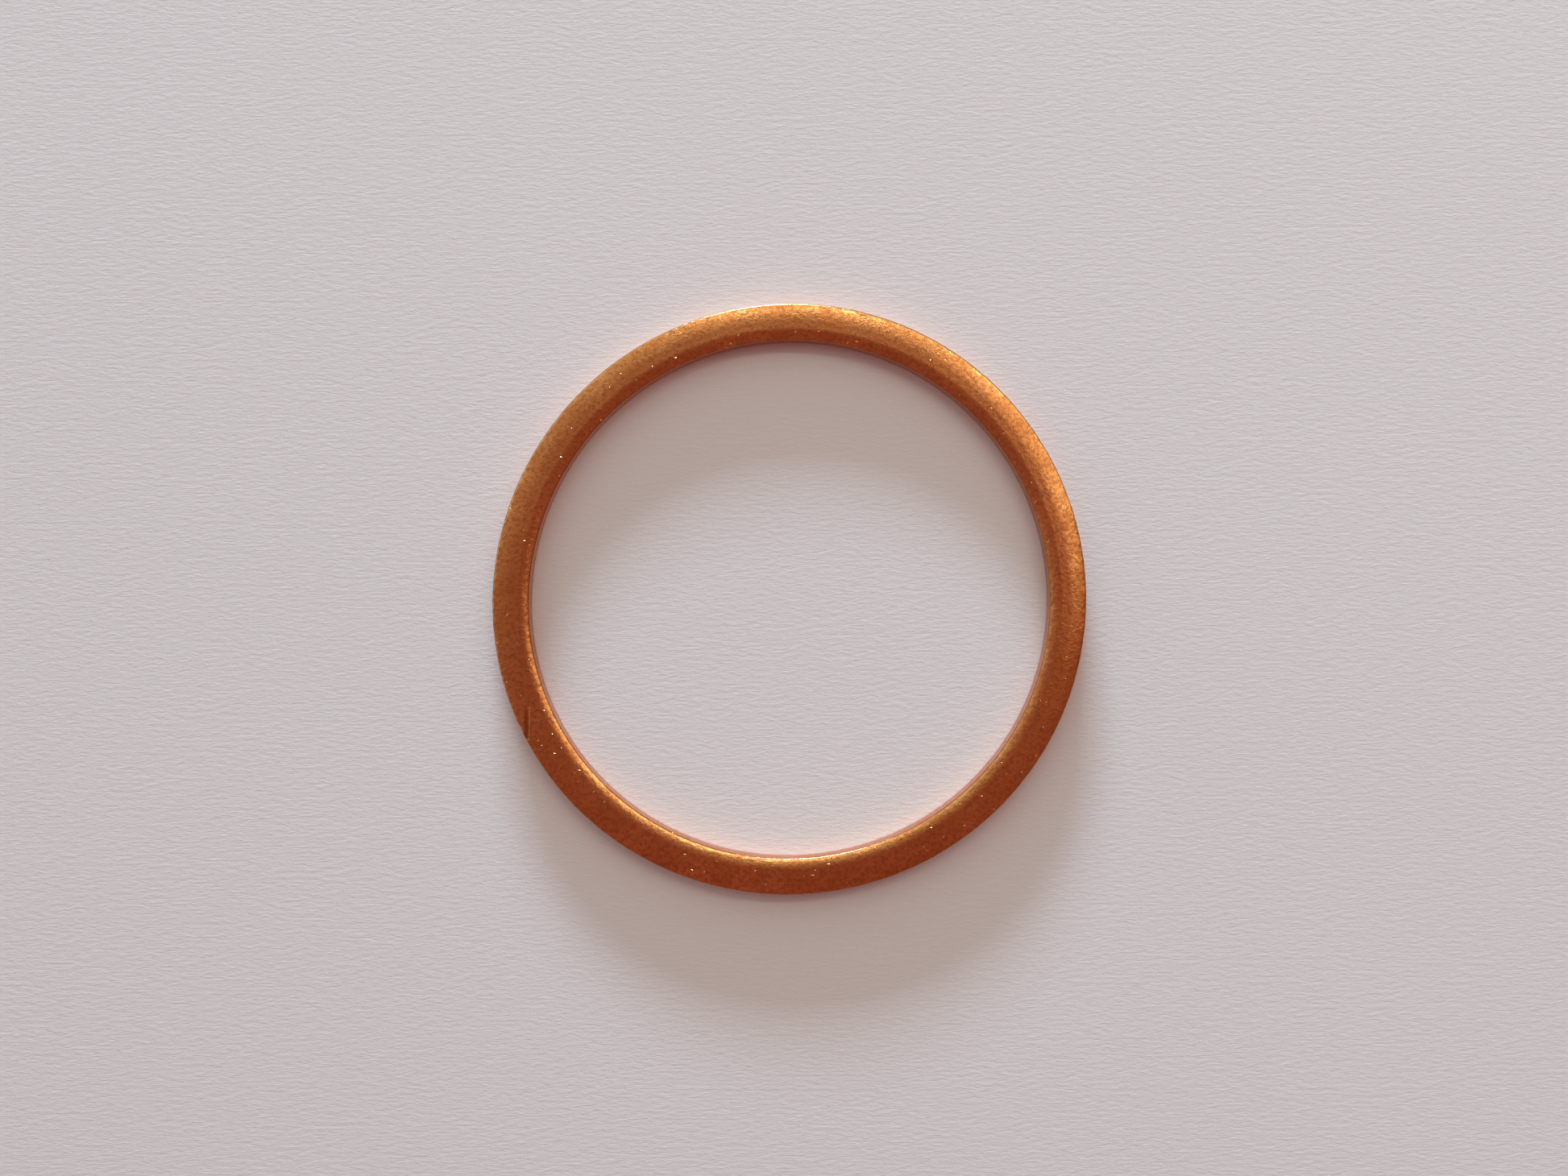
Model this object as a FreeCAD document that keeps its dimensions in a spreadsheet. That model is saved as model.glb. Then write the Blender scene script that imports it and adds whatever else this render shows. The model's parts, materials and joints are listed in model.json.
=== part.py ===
# Flat sealing washer of soft copper: one solid ring, blanked and pierced from sheet, then tumbled.
#
# The ring's axis is +Z and its origin is the centre of the lower face.  The punch enters from
# above, so the upper face rolls over towards both of its edges, and the lower face is the flat
# die side.  Tumbling leaves a small radius on all four edges.  Lengths are in millimetres.
import FreeCAD, Part
import math
import os
import Sketcher

# Driving dimensions: alias, value, what it measures.
DIMENSIONS = (
    ("outer_diameter", 54.9, "outside, a little under the nominal 55"),
    ("bore_diameter", 48.2, "hole, a little over the nominal 48, so it clears a 48 mm thread"),
    ("sheet_thickness", 2.0, "copper sheet"),
    ("outer_roll_width", 1.70, "how far the roll-over reaches in from the outside"),
    ("outer_roll_drop", 0.16, "how far the outer edge lies below the upper face"),
    ("bore_roll_width", 0.90, "how far the roll-over reaches out from the hole"),
    ("bore_roll_drop", 0.27, "how far the edge of the hole lies below the upper face"),
    ("outer_edge_radius", 0.25, "tumbled outer edge of the upper face"),
    ("bore_edge_radius", 0.22, "tumbled hole edge of the upper face"),
    ("die_edge_radius", 0.14, "tumbled edges of the lower face"),
    ("cut_margin", 0.50, "how far a groove's profile reaches past the ring, into the air"),
)
VOLUME_TOLERANCE = 1e-6
PLACE_TOLERANCE = 1e-4


def make_sheet(document):
    """The spreadsheet that every sketch and feature takes its sizes from."""
    sheet = document.addObject("Spreadsheet::Sheet", "Dimensions")
    for row, (alias, value, note) in enumerate(DIMENSIONS, start=1):
        sheet.set(f"A{row}", alias)
        sheet.set(f"B{row}", str(value))
        sheet.setAlias(f"B{row}", alias)
        sheet.set(f"C{row}", note)
    document.recompute()
    return sheet


def make_sketch(body, name, plane_role):
    """An empty sketch on one of the body's own origin planes."""
    plane = next(item for item in body.Origin.OriginFeatures if item.Role == plane_role)
    sketch = body.newObject("Sketcher::SketchObject", name)
    sketch.AttachmentSupport = (plane, [""])
    sketch.MapMode = "FlatFace"
    return sketch


def constrain(sketch, constraint, expression=None):
    """Add one constraint and bind its value to the spreadsheet where an expression is given."""
    index = sketch.addConstraint(constraint)
    if expression:
        sketch.setExpression(f"Constraints[{index}]", expression)


def circle_on_axis(body, name, alias, diameter):
    """A circle about the ring's axis, in the plane of the lower face."""
    sketch = make_sketch(body, name, "XY_Plane")
    circle = Part.Circle(FreeCAD.Vector(0, 0, 0), FreeCAD.Vector(0, 0, 1), diameter / 2)
    sketch.addGeometry(circle, False)
    constrain(sketch, Sketcher.Constraint("Coincident", 0, 3, -1, 1))
    constrain(sketch, Sketcher.Constraint("Diameter", 0, diameter), f"Dimensions.{alias}")
    return sketch


def roll_over_profile(body, name, edge, sheet, side):
    """What the roll-over takes off the upper face, as a section on the XZ plane.

    edge is "outer" or "bore", and side is +1 where the air lies outside the edge and -1 where
    it lies inside.  The arc leaves the upper face level with it and drops to the edge.
    """
    diameter = getattr(sheet, f"{edge}_diameter")
    width = getattr(sheet, f"{edge}_roll_width")
    drop = getattr(sheet, f"{edge}_roll_drop")
    margin = sheet.cut_margin
    top = sheet.sheet_thickness

    arc_radius = (width ** 2 + drop ** 2) / (2 * drop)
    half_turn = math.asin(width / arc_radius)
    edge_x = diameter / 2
    land_x = edge_x - side * width
    air_x = edge_x + side * margin
    centre = FreeCAD.Vector(land_x, top - arc_radius, 0)
    circle = Part.Circle(centre, FreeCAD.Vector(0, 0, 1), arc_radius)
    upright = math.pi / 2
    if side > 0:
        arc = Part.ArcOfCircle(circle, upright - half_turn, upright)
        edge_end, land_end = 1, 2
    else:
        arc = Part.ArcOfCircle(circle, upright, upright + half_turn)
        edge_end, land_end = 2, 1

    corners = [
        FreeCAD.Vector(edge_x, top - drop, 0),
        FreeCAD.Vector(air_x, top - drop, 0),
        FreeCAD.Vector(air_x, top + margin, 0),
        FreeCAD.Vector(land_x, top + margin, 0),
        FreeCAD.Vector(land_x, top, 0),
    ]
    sketch = make_sketch(body, name, "XZ_Plane")
    sketch.addGeometry(arc, False)
    for start, end in zip(corners, corners[1:]):
        sketch.addGeometry(Part.LineSegment(start, end), False)

    # The outline is closed: arc, floor in the air, outer side, lid, inner side, back to the arc.
    constrain(sketch, Sketcher.Constraint("Coincident", 0, edge_end, 1, 1))
    for line in (1, 2, 3):
        constrain(sketch, Sketcher.Constraint("Coincident", line, 2, line + 1, 1))
    constrain(sketch, Sketcher.Constraint("Coincident", 4, 2, 0, land_end))
    for line, direction in ((1, "Horizontal"), (2, "Vertical"), (3, "Horizontal"), (4, "Vertical")):
        constrain(sketch, Sketcher.Constraint(direction, line))
    # The arc's centre lies straight below the land, so the arc starts level with the face.
    constrain(sketch, Sketcher.Constraint("Vertical", 0, 3, 0, land_end))

    edge_distance = Sketcher.Constraint("DistanceX", -1, 1, 0, edge_end, edge_x)
    constrain(sketch, edge_distance, f"Dimensions.{edge}_diameter / 2")
    face_height = Sketcher.Constraint("DistanceY", -1, 1, 0, land_end, top)
    constrain(sketch, face_height, "Dimensions.sheet_thickness")
    roll_drop = Sketcher.Constraint("DistanceY", 0, edge_end, 0, land_end, drop)
    constrain(sketch, roll_drop, f"Dimensions.{edge}_roll_drop")
    left_end, right_end = (land_end, edge_end) if side > 0 else (edge_end, land_end)
    roll_width = Sketcher.Constraint("DistanceX", 0, left_end, 0, right_end, width)
    constrain(sketch, roll_width, f"Dimensions.{edge}_roll_width")
    floor_ends = (1, 2) if side > 0 else (2, 1)
    air_width = Sketcher.Constraint("DistanceX", 1, floor_ends[0], 1, floor_ends[1], margin)
    constrain(sketch, air_width, "Dimensions.cut_margin")
    air_height = Sketcher.Constraint("DistanceY", 4, 2, 4, 1, margin)
    constrain(sketch, air_height, "Dimensions.cut_margin")
    return sketch


def cut_roll_over(document, body, name, profile):
    """Turn a roll-over profile once round the axis and take it off the ring."""
    before = body.Shape.Volume
    groove = body.newObject("PartDesign::Groove", name)
    groove.Profile = profile
    groove.ReferenceAxis = (profile, ["V_Axis"])
    groove.Angle = 360.0
    profile.Visibility = False
    document.recompute()
    if groove.Shape.Volume > before - VOLUME_TOLERANCE:
        raise RuntimeError(f"{name} removed nothing")
    return groove


def edge_names(shape, places):
    """Names of the circular edges that have one of the given (radius, height) places."""
    names = []
    for number, edge in enumerate(shape.Edges, start=1):
        if not isinstance(edge.Curve, Part.Circle):
            continue
        for radius, height in places:
            same_radius = abs(edge.Curve.Radius - radius) < PLACE_TOLERANCE
            same_height = abs(edge.Curve.Center.z - height) < PLACE_TOLERANCE
            if same_radius and same_height:
                names.append(f"Edge{number}")
    if len(names) != len(places):
        raise RuntimeError(f"expected {len(places)} edges and found {names}")
    return names


def tumble_edges(document, body, name, places, alias):
    """Round the given edges, as the tumbling does."""
    base = body.Tip
    before = base.Shape.Volume
    names = edge_names(base.Shape, places)
    fillet = body.newObject("PartDesign::Fillet", name)
    fillet.Base = (base, names)
    fillet.setExpression("Radius", f"Dimensions.{alias}")
    document.recompute()
    if fillet.Shape.Volume > before - VOLUME_TOLERANCE:
        raise RuntimeError(f"{name} removed nothing")
    return fillet


def make_sealing_ring(document, sheet):
    """The washer: blanked, pierced, rolled over by the punch, and tumbled."""
    body = document.addObject("PartDesign::Body", "SealingRing")
    body.Label = "sealing_ring"
    body.Placement = FreeCAD.Placement()
    outer_radius = sheet.outer_diameter / 2
    bore_radius = sheet.bore_diameter / 2
    top = sheet.sheet_thickness

    # Blanking: a disc of sheet.
    blank_circle = circle_on_axis(body, "BlankCircle", "outer_diameter", sheet.outer_diameter)
    blank = body.newObject("PartDesign::Pad", "Blank")
    blank.Profile = blank_circle
    blank.setExpression("Length", "Dimensions.sheet_thickness")
    document.recompute()
    disc_volume = math.pi * outer_radius ** 2 * top
    if abs(blank.Shape.Volume - disc_volume) > disc_volume * VOLUME_TOLERANCE:
        raise RuntimeError("the blank has the wrong volume")

    # Piercing: the hole, cut upwards from the plane of the lower face.
    bore_circle = circle_on_axis(body, "BoreCircle", "bore_diameter", sheet.bore_diameter)
    bore = body.newObject("PartDesign::Pocket", "Bore")
    bore.Profile = bore_circle
    bore.Type = "ThroughAll"
    bore.Reversed = True
    document.recompute()
    ring_volume = disc_volume - math.pi * bore_radius ** 2 * top
    if abs(bore.Shape.Volume - ring_volume) > ring_volume * VOLUME_TOLERANCE:
        raise RuntimeError("the bore has the wrong volume")

    # Roll-over of the upper face, at the outside and at the hole.
    outer_profile = roll_over_profile(body, "OuterRollOverSection", "outer", sheet, 1)
    cut_roll_over(document, body, "OuterRollOver", outer_profile)
    bore_profile = roll_over_profile(body, "BoreRollOverSection", "bore", sheet, -1)
    cut_roll_over(document, body, "BoreRollOver", bore_profile)

    # Tumbled edges.
    outer_top_edge = (outer_radius, top - sheet.outer_roll_drop)
    bore_top_edge = (bore_radius, top - sheet.bore_roll_drop)
    die_edges = [(outer_radius, 0.0), (bore_radius, 0.0)]
    tumble_edges(document, body, "OuterEdge", [outer_top_edge], "outer_edge_radius")
    tumble_edges(document, body, "BoreEdge", [bore_top_edge], "bore_edge_radius")
    tumble_edges(document, body, "DieSideEdges", die_edges, "die_edge_radius")
    return body


def check(document, subparts):
    """Stop if any object failed to compute or any sub-part isn't one valid solid."""
    for item in document.Objects:
        if "Invalid" in item.State or "Error" in item.State:
            raise RuntimeError(f"{item.Name} failed: {item.State}")
    for subpart in subparts:
        shape = subpart.Shape
        if shape.isNull() or not shape.isValid() or len(shape.Solids) != 1:
            raise RuntimeError(f"{subpart.Label} is not one valid solid")


def write_steps(subparts):
    """One STEP file for each sub-part, named by its label."""
    os.makedirs("parts", exist_ok=True)
    for subpart in subparts:
        shape = subpart.Shape
        shape.exportStep(f"parts/{subpart.Label}.step")
        box = shape.optimalBoundingBox(False, False)
        size = f"{box.XLength:.3f} x {box.YLength:.3f} x {box.ZLength:.3f} mm"
        print(f"{subpart.Label}: {size}, lowest {box.ZMin:.3f}, {shape.Volume:.2f} mm3")


document = FreeCAD.newDocument("SealingWasher")
dimensions = make_sheet(document)
subparts = [make_sealing_ring(document, dimensions)]
document.recompute()
check(document, subparts)
write_steps(subparts)
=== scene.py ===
import json
import math

import bmesh
import bpy
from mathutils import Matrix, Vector


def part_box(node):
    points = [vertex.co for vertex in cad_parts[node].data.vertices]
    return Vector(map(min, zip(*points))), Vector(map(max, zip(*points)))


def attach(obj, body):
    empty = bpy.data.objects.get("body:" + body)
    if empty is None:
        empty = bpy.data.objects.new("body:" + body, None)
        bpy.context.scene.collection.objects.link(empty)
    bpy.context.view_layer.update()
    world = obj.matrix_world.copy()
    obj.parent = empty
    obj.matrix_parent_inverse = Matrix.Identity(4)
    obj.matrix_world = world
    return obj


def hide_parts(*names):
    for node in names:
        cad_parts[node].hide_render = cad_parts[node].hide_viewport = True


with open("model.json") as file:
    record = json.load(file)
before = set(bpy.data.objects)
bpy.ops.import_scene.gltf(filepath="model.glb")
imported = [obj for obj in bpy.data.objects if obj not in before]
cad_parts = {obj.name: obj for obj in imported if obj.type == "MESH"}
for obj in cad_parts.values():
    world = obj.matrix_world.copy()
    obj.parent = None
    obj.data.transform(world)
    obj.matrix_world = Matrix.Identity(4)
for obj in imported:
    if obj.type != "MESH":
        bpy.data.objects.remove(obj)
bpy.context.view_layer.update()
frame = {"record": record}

bpy.ops.object.select_all(action="DESELECT")


# ---- The sealing ring ----
# One flat ring of soft copper, blanked and pierced from sheet in a single stroke, so its upper
# edges are rolled over and the lower part of both walls is torn. It was then tumbled with others,
# which rounded every edge, knocked it slightly out of round and left it satin and scratched.
MM = 0.001
lowest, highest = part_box("sealing_ring")
outside = highest.x
thickness = highest.z
bore_mount = next(mount for mount in frame["record"]["mounts"] if mount["name"] == "bore")
bore = bore_mount["dims"]["r_mm"] * MM
middle = (outside + bore) / 2

# The section, in the XZ plane: a rectangle as wide as the ring and as tall as the sheet.
bpy.ops.mesh.primitive_plane_add(size=1, location=(middle, 0, thickness / 2), rotation=(math.pi / 2, 0, 0))
ring = bpy.context.object
ring.name = "copper_ring"
ring.data.name = "copper_ring"
ring.scale = (outside - bore, thickness, 1)
bpy.ops.object.transform_apply(location=True, rotation=True, scale=True)


def select_corners(chosen):
    """In edit mode, select only the vertices whose place passes the test."""
    bpy.ops.mesh.select_mode(type="VERT")
    bpy.ops.mesh.select_all(action="DESELECT")
    shape = bmesh.from_edit_mesh(bpy.context.object.data)
    for corner in shape.verts:
        corner.select_set(bool(chosen(corner.co)))
    shape.select_flush_mode()
    bmesh.update_edit_mesh(bpy.context.object.data)


def select_lines(chosen):
    """In edit mode, select only the edges whose two ends pass the test."""
    bpy.ops.mesh.select_mode(type="EDGE")
    bpy.ops.mesh.select_all(action="DESELECT")
    shape = bmesh.from_edit_mesh(bpy.context.object.data)
    for line in shape.edges:
        line.select_set(bool(chosen(line.verts[0].co, line.verts[1].co)))
    bmesh.update_edit_mesh(bpy.context.object.data)


def near(a, b, slack=0.004 * MM):
    return abs(a - b) < slack


def round_corner(x, z, reach, segments):
    """Round the corner of the section at that place, from that far along each side."""
    select_corners(lambda place: near(place.x, x) and near(place.z, z))
    bpy.ops.mesh.bevel(offset=reach, segments=segments, profile=0.5, affect="VERTICES", clamp_overlap=False)


# Creases where the punch started to drag the upper face down, outside and at the bore.
outer_crease = outside - 0.95 * MM
bore_crease = bore + 0.58 * MM
bpy.ops.object.mode_set(mode="EDIT")
for crease in (outer_crease, bore_crease):
    bpy.ops.mesh.select_all(action="SELECT")
    bpy.ops.mesh.bisect(plane_co=(crease, 0, 0), plane_no=(1, 0, 0))
outer_drop = 0.16 * MM
bore_drop = 0.27 * MM
select_corners(lambda place: near(place.x, outside) and near(place.z, thickness))
bpy.ops.transform.translate(value=(0, 0, -outer_drop))
select_corners(lambda place: near(place.x, bore) and near(place.z, thickness))
bpy.ops.transform.translate(value=(0, 0, -bore_drop))

# Only the outline is kept before its corners are rounded, so the bevels meet no inner lines.
bpy.ops.mesh.select_mode(type="FACE")
bpy.ops.mesh.select_all(action="SELECT")
bpy.ops.mesh.dissolve_faces()
upper_outer_edge = 0.165 * MM
upper_bore_edge = 0.095 * MM
lower_edge = 0.14 * MM
outer_roll = 0.72 * MM
bore_roll = 0.50 * MM
round_corner(outside, thickness - outer_drop, upper_outer_edge, 8)
round_corner(bore, thickness - bore_drop, upper_bore_edge, 6)
round_corner(outside, 0, lower_edge, 4)
round_corner(bore, 0, lower_edge, 4)
round_corner(outer_crease, thickness, outer_roll, 14)
round_corner(bore_crease, thickness, bore_roll, 11)

# The long straight runs are divided finely enough for wear to show in the shape.
shortest_run = 0.5 * MM
long_runs = (
    (lambda a, b: near(a.z, thickness) and near(b.z, thickness) and abs(a.x - b.x) > shortest_run, 7),
    (lambda a, b: near(a.z, 0) and near(b.z, 0) and abs(a.x - b.x) > shortest_run, 6),
    (lambda a, b: near(a.x, outside) and near(b.x, outside) and abs(a.z - b.z) > shortest_run, 8),
    (lambda a, b: near(a.x, bore) and near(b.x, bore) and abs(a.z - b.z) > shortest_run, 8),
)
for is_run, cuts in long_runs:
    select_lines(is_run)
    bpy.ops.mesh.subdivide(number_cuts=cuts)

# The section is turned through a full circle about the ring's axis and closed on itself.
bpy.ops.mesh.select_mode(type="FACE")
bpy.ops.mesh.select_all(action="SELECT")
bpy.ops.mesh.delete(type="ONLY_FACE")
bpy.ops.mesh.select_mode(type="VERT")
bpy.ops.mesh.select_all(action="SELECT")
steps_round = 1000
bpy.ops.mesh.spin(steps=steps_round, angle=math.tau, center=(0, 0, 0), axis=(0, 0, 1))
bpy.ops.mesh.select_all(action="SELECT")
bpy.ops.mesh.remove_doubles(threshold=1e-7)
bpy.ops.mesh.normals_make_consistent(inside=False)
bpy.ops.object.mode_set(mode="OBJECT")


def mark_zone(name, chosen):
    """A vertex group of the vertices whose distance from the axis and height pass the test."""
    zone = ring.vertex_groups.new(name=name)
    members = [v.index for v in ring.data.vertices if chosen(math.hypot(v.co.x, v.co.y), v.co.z)]
    zone.add(members, 1.0, "REPLACE")


mark_zone("bore edge", lambda r, z: r < bore + 0.62 * MM and z > thickness - 0.62 * MM)
mark_zone("outer edge", lambda r, z: r > outside - 0.30 * MM and z > thickness - 0.50 * MM)
mark_zone("torn band", lambda r, z: z < 0.60 * MM and (near(r, bore) or near(r, outside)))
mark_zone("all edges", lambda r, z: r > outside - 0.30 * MM or r < bore + 0.55 * MM)


def wear(name, kind, size, depth, zone=None, only_peaks=None):
    """Push the surface in and out by a pattern of that size and depth, then keep the result."""
    pattern = bpy.data.textures.new(name, kind)
    pattern.noise_scale = size
    if kind == "CLOUDS":
        pattern.noise_depth = 2
    if only_peaks:
        pattern.use_color_ramp = True
        pattern.color_ramp.elements[0].color = (1, 1, 1, 1)
        pattern.color_ramp.elements[1].color = (0, 0, 0, 1)
        pattern.color_ramp.elements[1].position = only_peaks
    push = ring.modifiers.new(name, "DISPLACE")
    push.texture = pattern
    push.texture_coords = "LOCAL"
    push.direction = "NORMAL"
    push.mid_level = 0.0 if only_peaks else 0.5
    push.strength = depth
    if zone:
        push.vertex_group = zone
    bpy.ops.object.select_all(action="DESELECT")
    ring.select_set(True)
    bpy.context.view_layer.objects.active = ring
    bpy.ops.object.modifier_apply(modifier=name)


wear("slow waves", "CLOUDS", 3.2 * MM, 0.012 * MM)
wear("grainy bore edge", "CLOUDS", 0.24 * MM, 0.034 * MM, "bore edge")
wear("ragged outer edge", "CLOUDS", 0.38 * MM, 0.055 * MM, "outer edge")
wear("torn walls", "CLOUDS", 0.24 * MM, 0.060 * MM, "torn band")
wear("knocks", "VORONOI", 2.4 * MM, -0.050 * MM, "all edges", only_peaks=0.14)

# The ring is slightly oval: it is turned to its long axis, stretched, and turned back.
long_axis = math.radians(31)
oval = 0.129 * MM / outside
for turn, stretch in ((-long_axis, 0), (0, oval), (long_axis, 0)):
    ring.rotation_euler = (0, 0, turn)
    ring.scale = (1 + stretch, 1 - stretch, 1)
    bpy.ops.object.transform_apply(location=True, rotation=True, scale=True)

# It also has three faint corners, a third of a turn apart.
three_corners = 0.054 * MM
first_corner = math.radians(86)
for vertex in ring.data.vertices:
    turn = math.atan2(vertex.co.y, vertex.co.x)
    push = three_corners * math.cos(3 * (turn - first_corner))
    vertex.co += Vector((math.cos(turn), math.sin(turn), 0)) * push

# One score mark runs in from the outer edge, with a small notch beside it. The faces there are
# divided first, so the groove is sharp.
score_start = Vector((-24.34 * MM, -12.75 * MM, 0))
score_end = Vector((-24.28 * MM, -9.90 * MM, 0))
notch = Vector((-24.95 * MM, -11.75 * MM, 0))
groove_reach = 0.28 * MM
groove_depth = 0.045 * MM
notch_reach = 0.30 * MM
notch_depth = 0.10 * MM
divided_reach = 0.34 * MM
upper_part = thickness - 0.6 * MM


def off_score(place):
    """How far a place is from the score mark's line, seen from above."""
    flat = Vector((place.x, place.y, 0))
    along = score_end - score_start
    part = max(0.0, min(1.0, (flat - score_start).dot(along) / along.length_squared))
    return (flat - score_start - along * part).length


bpy.ops.object.mode_set(mode="EDIT")
bpy.ops.mesh.select_mode(type="FACE")
bpy.ops.mesh.select_all(action="DESELECT")
shape = bmesh.from_edit_mesh(ring.data)
for face in shape.faces:
    middle_point = face.calc_center_median()
    if middle_point.z > upper_part and off_score(middle_point) < divided_reach:
        face.select_set(True)
bmesh.update_edit_mesh(ring.data)
bpy.ops.mesh.subdivide(number_cuts=3)
bpy.ops.object.mode_set(mode="OBJECT")
for vertex in ring.data.vertices:
    if vertex.co.z < upper_part:
        continue
    groove = max(0.0, 1 - (off_score(vertex.co) / groove_reach) ** 2)
    vertex.co.z -= groove_depth * groove
    level_place = Vector((vertex.co.x, vertex.co.y, 0))
    dent = max(0.0, 1 - (level_place - notch).length / notch_reach)
    vertex.co -= level_place.normalized() * notch_depth * dent
bpy.ops.object.shade_smooth_by_angle(angle=math.radians(50))

# Satin copper, tumbled and then handled: a thin brown tarnish in patches and specks, rubbed lighter
# where the face rolls over, with a fine grain and short bright nicks. The sharp edge rounds are painted
# dark, a painted shade that dims their glint. The walls are sheared smooth above and torn rough below,
# with drag lines up and down. Their colour is painted redder, a painted reflection of red bounced light,
# and the torn part is painted paler, partly a painted highlight.
copper = bpy.data.materials.new("satin copper")
copper.use_nodes = True
nodes = copper.node_tree.nodes
wires = copper.node_tree.links
metal = nodes["Principled BSDF"]
metal.inputs["Metallic"].default_value = 1.0


def add(kind, settings=None, **inputs):
    """A node with its settings and its inputs, each a number, a colour or another node's output."""
    node = nodes.new(kind)
    for name, value in (settings or {}).items():
        setattr(node, name, value)
    for name, value in inputs.items():
        key = int(name[1:]) if name[0] == "i" and name[1:].isdigit() else name.replace("_", " ")
        if isinstance(value, bpy.types.NodeSocket):
            wires.new(value, node.inputs[key])
        else:
            node.inputs[key].default_value = value
    return node


def reckon(operation, a, b=0.0, clamp=False):
    """One step of arithmetic on one or two values."""
    return add("ShaderNodeMath", {"operation": operation, "use_clamp": clamp}, i0=a, i1=b).outputs[0]


def fade(value, start, end, low=0.0, high=1.0):
    """A mask that goes smoothly from low at start to high at end."""
    node = add(
        "ShaderNodeMapRange",
        {"interpolation_type": "SMOOTHSTEP"},
        Value=value,
        From_Min=start,
        From_Max=end,
        To_Min=low,
        To_Max=high,
    )
    return node.outputs[0]


def noise(place, scale, detail=3.0, roughness=0.55):
    """A cloudy pattern. A scale of 1000 repeats about once a millimetre."""
    node = add("ShaderNodeTexNoise", Vector=place, Scale=scale, Detail=detail, Roughness=roughness)
    return node.outputs["Fac"]


def blend_colours(amount, a, b):
    """Colour a where the amount is 0 and colour b where it is 1."""
    node = add("ShaderNodeMix", {"data_type": "RGBA"}, i0=amount, i6=a, i7=b)
    return node.outputs[2]


place = add("ShaderNodeTexCoord").outputs["Object"]
parts = add("ShaderNodeSeparateXYZ", Vector=place)
flat_place = add("ShaderNodeCombineXYZ", X=parts.outputs["X"], Y=parts.outputs["Y"]).outputs[0]
radius = add("ShaderNodeVectorMath", {"operation": "LENGTH"}, i0=flat_place).outputs["Value"]
outward = add("ShaderNodeVectorMath", {"operation": "NORMALIZE"}, i0=flat_place).outputs[0]
facing = add("ShaderNodeSeparateXYZ", Vector=add("ShaderNodeNewGeometry").outputs["Normal"])
uprightness = reckon("ABSOLUTE", facing.outputs["Z"])
wall = fade(uprightness, 0.50, 0.20)
rounded = reckon("MULTIPLY", fade(uprightness, 0.985, 0.90), fade(uprightness, 0.78, 0.88))
# The sharp edge rounds, which get painted shade below to dim their glint.
sharp = reckon("MULTIPLY", fade(uprightness, 0.88, 0.76), fade(uprightness, 0.15, 0.35))
torn_part = reckon("MULTIPLY", wall, fade(parts.outputs["Z"], 0.85 * MM, 0.45 * MM))

# Places measured round the ring rather than across it, so that lines follow the band.
round_it = add("ShaderNodeSeparateXYZ", Vector=outward)


def banded(around, across, upward):
    """Coordinates with their own scale round the ring, across the band and up the walls."""
    return add(
        "ShaderNodeCombineXYZ",
        X=reckon("MULTIPLY", round_it.outputs["X"], around),
        Y=reckon("MULTIPLY", round_it.outputs["Y"], around),
        Z=reckon(
            "ADD",
            reckon("MULTIPLY", radius, across),
            reckon("MULTIPLY", parts.outputs["Z"], upward),
        ),
    ).outputs[0]


def glints(turn, long, wide, size):
    """Short bright nicks lying one way, each alone in its own patch, with their places scattered."""
    turned = add("ShaderNodeVectorRotate", {"rotation_type": "Z_AXIS"}, Vector=place, Angle=turn)
    stretched = add("ShaderNodeMapping", Vector=turned.outputs[0], Scale=(wide, long, long)).outputs[0]
    spots = add("ShaderNodeTexVoronoi", Vector=stretched, Scale=1.0, Randomness=1.0)
    chance = add("ShaderNodeSeparateColor", Color=spots.outputs["Color"]).outputs[0]
    return reckon("MULTIPLY", fade(spots.outputs["Distance"], size, size * 0.4), fade(chance, 0.40, 0.46))


patches = fade(noise(place, 95, 2.0, 0.5), 0.38, 0.64)
tarnish = fade(noise(place, 420, 5.0, 0.66), 0.36, 0.66)
specks = fade(noise(place, 2600, 4.0, 0.65), 0.42, 0.62)
grain = noise(place, 6400, 2.0, 0.6)
hammered = noise(place, 1700, 2.0, 0.5)
dots = glints(0.0, 1050, 1050, 0.085)
nicks = reckon("MAXIMUM", glints(0.45, 520, 1500, 0.09), glints(1.75, 480, 1400, 0.08))
nicks = reckon("MAXIMUM", nicks, glints(2.65, 420, 1700, 0.07))
scratches = reckon("MAXIMUM", dots, nicks)
scratches_on_faces = reckon("MULTIPLY", scratches, fade(wall, 1.0, 0.0))
drag_lines = reckon("MULTIPLY", noise(banded(420, 0, 120), 1.0, 3.0), wall)

# Dark grime has settled in the score mark.
score_x = (score_start.x + score_end.x) / 2
off_line = reckon("ABSOLUTE", reckon("SUBTRACT", parts.outputs["X"], score_x))
inner_end = fade(parts.outputs["Y"], score_end.y + 0.30 * MM, score_end.y - 1.10 * MM)
outer_end = fade(parts.outputs["Y"], score_start.y - 0.55 * MM, score_start.y + 0.15 * MM)
grime = reckon("MULTIPLY", fade(off_line, 0.42 * MM, 0.04 * MM), inner_end)
grime = reckon("MULTIPLY", grime, outer_end)

clean = (0.90, 0.435, 0.155, 1)
brown = (0.72, 0.285, 0.088, 1)
deep = (0.42, 0.145, 0.045, 1)
# Painted shade: a dark colour on the sharp edge rounds that dims their glint.
edge_painted_shade = (0.26, 0.10, 0.055, 1)
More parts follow.
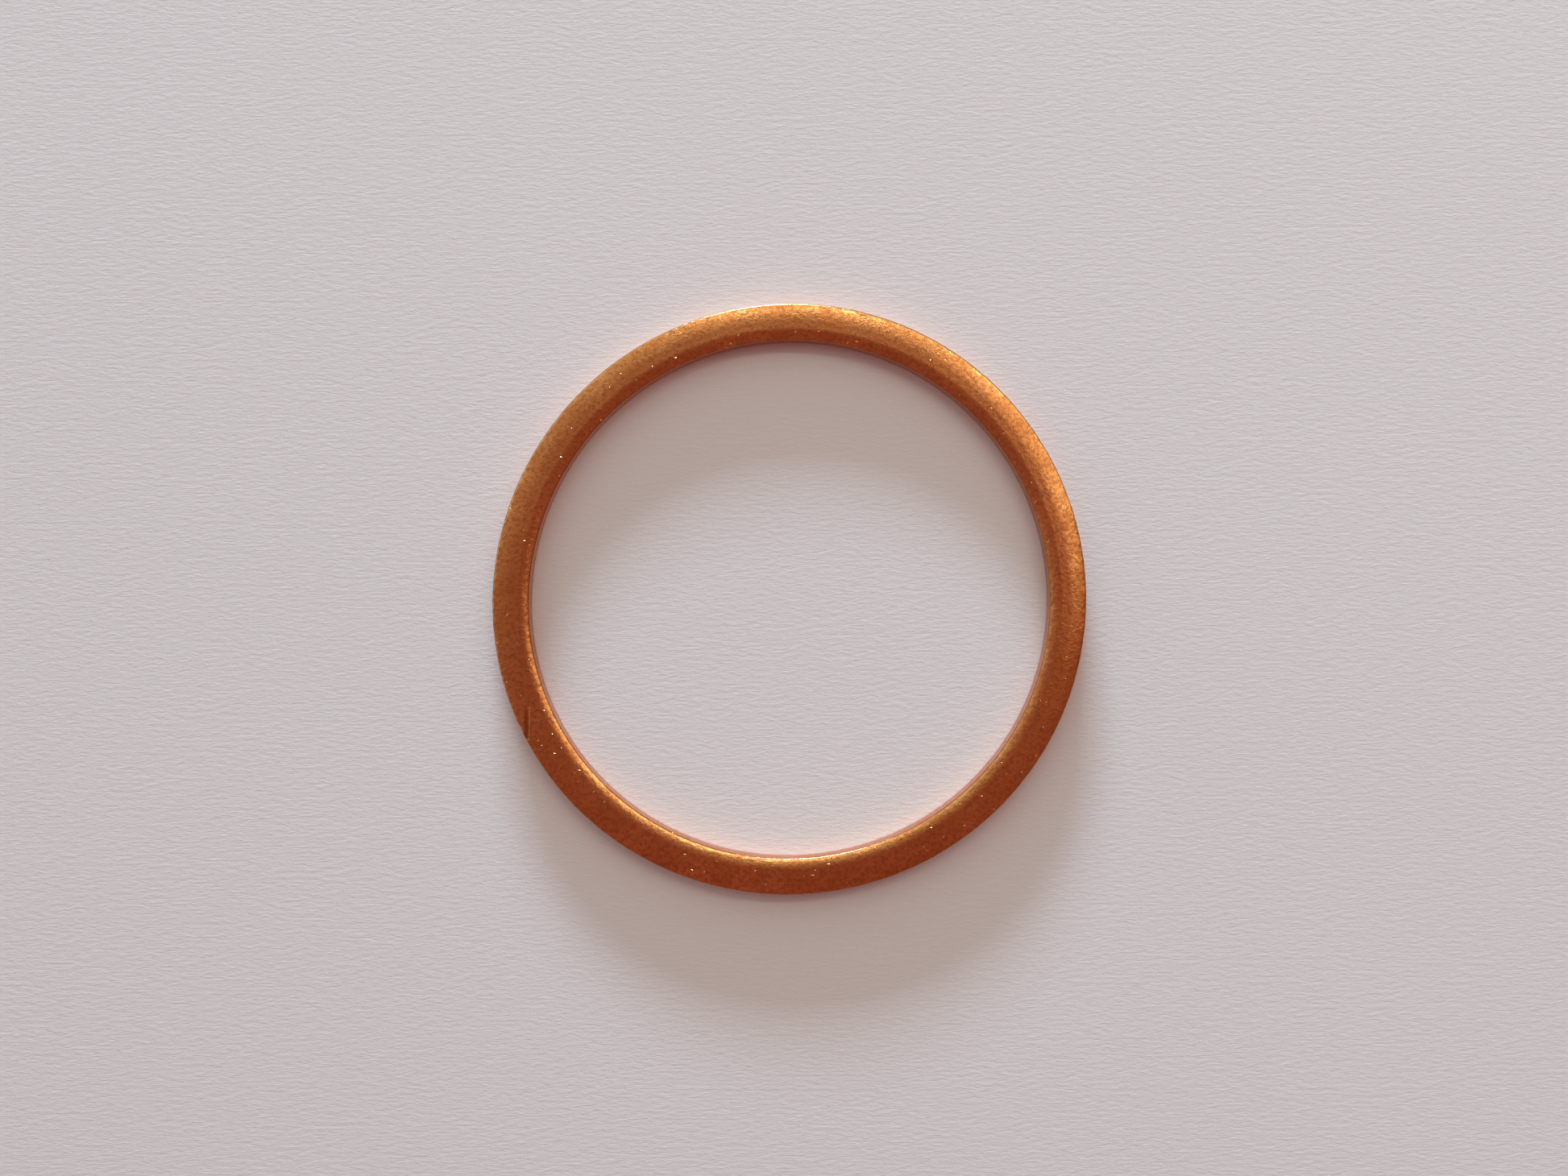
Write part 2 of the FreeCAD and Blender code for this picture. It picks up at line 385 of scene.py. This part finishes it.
# Painted reflection: the walls' redder colour stands in for red light bounced between copper and card. The
# torn part is also painted paler, partly a painted highlight.
sheared = (0.66, 0.24, 0.11, 1)
torn = (0.74, 0.31, 0.17, 1)
bare = (0.97, 0.60, 0.27, 1)
dark_grime = (0.24, 0.07, 0.025, 1)
colour = blend_colours(tarnish, clean, brown)
colour = blend_colours(reckon("MULTIPLY", patches, 0.22), colour, deep)
colour = blend_colours(reckon("MULTIPLY", specks, 0.58), colour, deep)
colour = blend_colours(reckon("MULTIPLY", rounded, 0.25), colour, clean)
# Painted shade on the sharp edge rounds.
colour = blend_colours(reckon("MULTIPLY", sharp, 0.85), colour, edge_painted_shade)
# Painted reflection on the walls; on their torn part also a painted highlight.
colour = blend_colours(reckon("MULTIPLY", wall, 0.85), colour, sheared)
colour = blend_colours(reckon("MULTIPLY", torn_part, 0.85), colour, torn)
colour = blend_colours(reckon("MULTIPLY", scratches_on_faces, 0.7), colour, bare)
colour = blend_colours(reckon("MULTIPLY", grime, 0.58), colour, dark_grime)
wires.new(colour, metal.inputs["Base Color"])

gloss = reckon("ADD", fade(tarnish, 0.0, 1.0, 0.17, 0.25), reckon("MULTIPLY", specks, 0.04))
gloss = reckon("ADD", gloss, reckon("MULTIPLY", wall, 0.02))
gloss = reckon("ADD", gloss, reckon("MULTIPLY", torn_part, 0.12), clamp=True)
wires.new(gloss, metal.inputs["Roughness"])

relief = reckon("ADD", reckon("MULTIPLY", grain, 0.70), reckon("MULTIPLY", specks, 0.42))
relief = reckon("ADD", relief, reckon("MULTIPLY", hammered, 1.2))
relief = reckon("ADD", relief, reckon("MULTIPLY", scratches_on_faces, -3.6))
relief = reckon("ADD", relief, reckon("MULTIPLY", drag_lines, 1.3))
bump = add("ShaderNodeBump", Strength=1.0, Distance=0.009 * MM, Height=relief)
wires.new(bump.outputs[0], metal.inputs["Normal"])

ring.data.materials.clear()
ring.data.materials.append(copper)
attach(ring, "root")
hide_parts("sealing_ring")


# ---- The card it lies on ----
# A plain pale matte card, much larger than the ring, laid flat with the ring resting on it. Its
# face has the faint tooth of paper, whose fibres lie along X. It is not part of the object.
bpy.ops.object.select_all(action="DESELECT")
bpy.ops.mesh.primitive_plane_add(size=6, location=(0, 0, 0))
card = bpy.context.object
card.name = "card"
card_finish = bpy.data.materials.new("pale card")
card_finish.use_nodes = True
card_face = card_finish.node_tree.nodes["Principled BSDF"]
card_face.inputs["Base Color"].default_value = (0.742, 0.733, 0.753, 1)
card_face.inputs["Roughness"].default_value = 0.95
card_face.inputs["Specular IOR Level"].default_value = 0.1
card_place = card_finish.node_tree.nodes.new("ShaderNodeTexCoord")
fibres = card_finish.node_tree.nodes.new("ShaderNodeMapping")
fibres.inputs["Scale"].default_value = (900, 2900, 1)
tooth = card_finish.node_tree.nodes.new("ShaderNodeTexNoise")
tooth.inputs["Scale"].default_value = 1.0
tooth.inputs["Detail"].default_value = 5
tooth.inputs["Roughness"].default_value = 0.75
tooth_bump = card_finish.node_tree.nodes.new("ShaderNodeBump")
tooth_bump.inputs["Distance"].default_value = 0.048 * MM
tooth_bump.inputs["Strength"].default_value = 1.0
card_finish.node_tree.links.new(card_place.outputs["Object"], fibres.inputs["Vector"])
card_finish.node_tree.links.new(fibres.outputs[0], tooth.inputs["Vector"])
card_finish.node_tree.links.new(tooth.outputs["Fac"], tooth_bump.inputs["Height"])
card_finish.node_tree.links.new(tooth_bump.outputs[0], card_face.inputs["Normal"])
card.data.materials.append(card_finish)


# ---- The light ----
# A low, cool window behind the ring, a long soft strip overhead that reaches further to the
# right, a weak glow from the ceiling, and a room that is warm and dim in front and above.
def soft_light(name, bearing, height, distance, width, tall, power, tint):
    """An area light that faces the ring. Bearing runs anticlockwise from +X, both in degrees."""
    level = math.cos(math.radians(height))
    toward = Vector((
        math.cos(math.radians(bearing)) * level,
        math.sin(math.radians(bearing)) * level,
        math.sin(math.radians(height)),
    ))
    bpy.ops.object.light_add(type="AREA", location=toward * distance)
    lamp = bpy.context.object
    lamp.name = name
    lamp.rotation_euler = toward.to_track_quat("Z", "Y").to_euler()
    lamp.data.shape = "RECTANGLE"
    lamp.data.size = width
    lamp.data.size_y = tall
    lamp.data.energy = power
    lamp.data.color = tint


soft_light("window", 96, 7.6, 1.5, 0.47, 0.125, 51.5, (0.62, 0.785, 0.935))

bpy.ops.object.light_add(type="AREA", location=(0.42, 0.305, 0.5))
strip = bpy.context.object
strip.name = "overhead strip"
strip.data.shape = "RECTANGLE"
strip.data.size = 1.06
strip.data.size_y = 0.05
strip.data.energy = 0.82
strip.data.color = (1.0, 0.97, 0.80)

soft_light("ceiling glow", 28, 60, 0.6, 0.24, 0.24, 0.18, (1.0, 0.95, 0.74))

surround = bpy.data.worlds.new("surround")
bpy.context.scene.world = surround
surround.use_nodes = True
sky = surround.node_tree
sky.nodes.clear()
seen = sky.nodes.new("ShaderNodeBackground")
seen.inputs["Color"].default_value = (0.62, 0.60, 0.58, 1)
felt = sky.nodes.new("ShaderNodeBackground")
way = sky.nodes.new("ShaderNodeTexCoord")
toward_window = sky.nodes.new("ShaderNodeVectorMath")
toward_window.operation = "DOT_PRODUCT"
toward_window.inputs[1].default_value = (-0.35, 1, -0.5)
room = sky.nodes.new("ShaderNodeMapRange")
room.interpolation_type = "SMOOTHSTEP"
room.inputs["From Min"].default_value = -0.6
room.inputs["From Max"].default_value = 0.6
room_colour = sky.nodes.new("ShaderNodeMix")
room_colour.data_type = "RGBA"
room_colour.inputs[6].default_value = (0.275, 0.10, 0.085, 1)
room_colour.inputs[7].default_value = (0.93, 1.0, 0.93, 1)
path = sky.nodes.new("ShaderNodeLightPath")
choice = sky.nodes.new("ShaderNodeMixShader")
sky_out = sky.nodes.new("ShaderNodeOutputWorld")
sky.links.new(way.outputs["Generated"], toward_window.inputs[0])
sky.links.new(toward_window.outputs["Value"], room.inputs["Value"])
sky.links.new(room.outputs[0], room_colour.inputs[0])
sky.links.new(room_colour.outputs[2], felt.inputs["Color"])
sky.links.new(path.outputs["Is Camera Ray"], choice.inputs[0])
sky.links.new(felt.outputs[0], choice.inputs[1])
sky.links.new(seen.outputs[0], choice.inputs[2])
sky.links.new(choice.outputs[0], sky_out.inputs["Surface"])
bpy.context.scene.view_settings.view_transform = "Standard"


# ---- The camera ----
# It looks almost straight down from about 13 cm, a little behind and to the left of the centre,
# through a lens that sees 60 degrees across.
eye = Vector((-1.23 * MM, 2.40 * MM, 127.6 * MM))
aim = Vector((-0.53 * MM, 1.12 * MM, 0))
bpy.ops.object.camera_add(location=eye)
camera = bpy.context.object
sideways = aim - eye
camera.rotation_euler = (math.atan2(sideways.y, -sideways.z), -math.atan2(sideways.x, -sideways.z), 0)
camera.data.lens = 31.2
camera.data.sensor_width = 36
camera.data.clip_start = 0.01
camera.data.clip_end = 20
bpy.context.scene.camera = camera
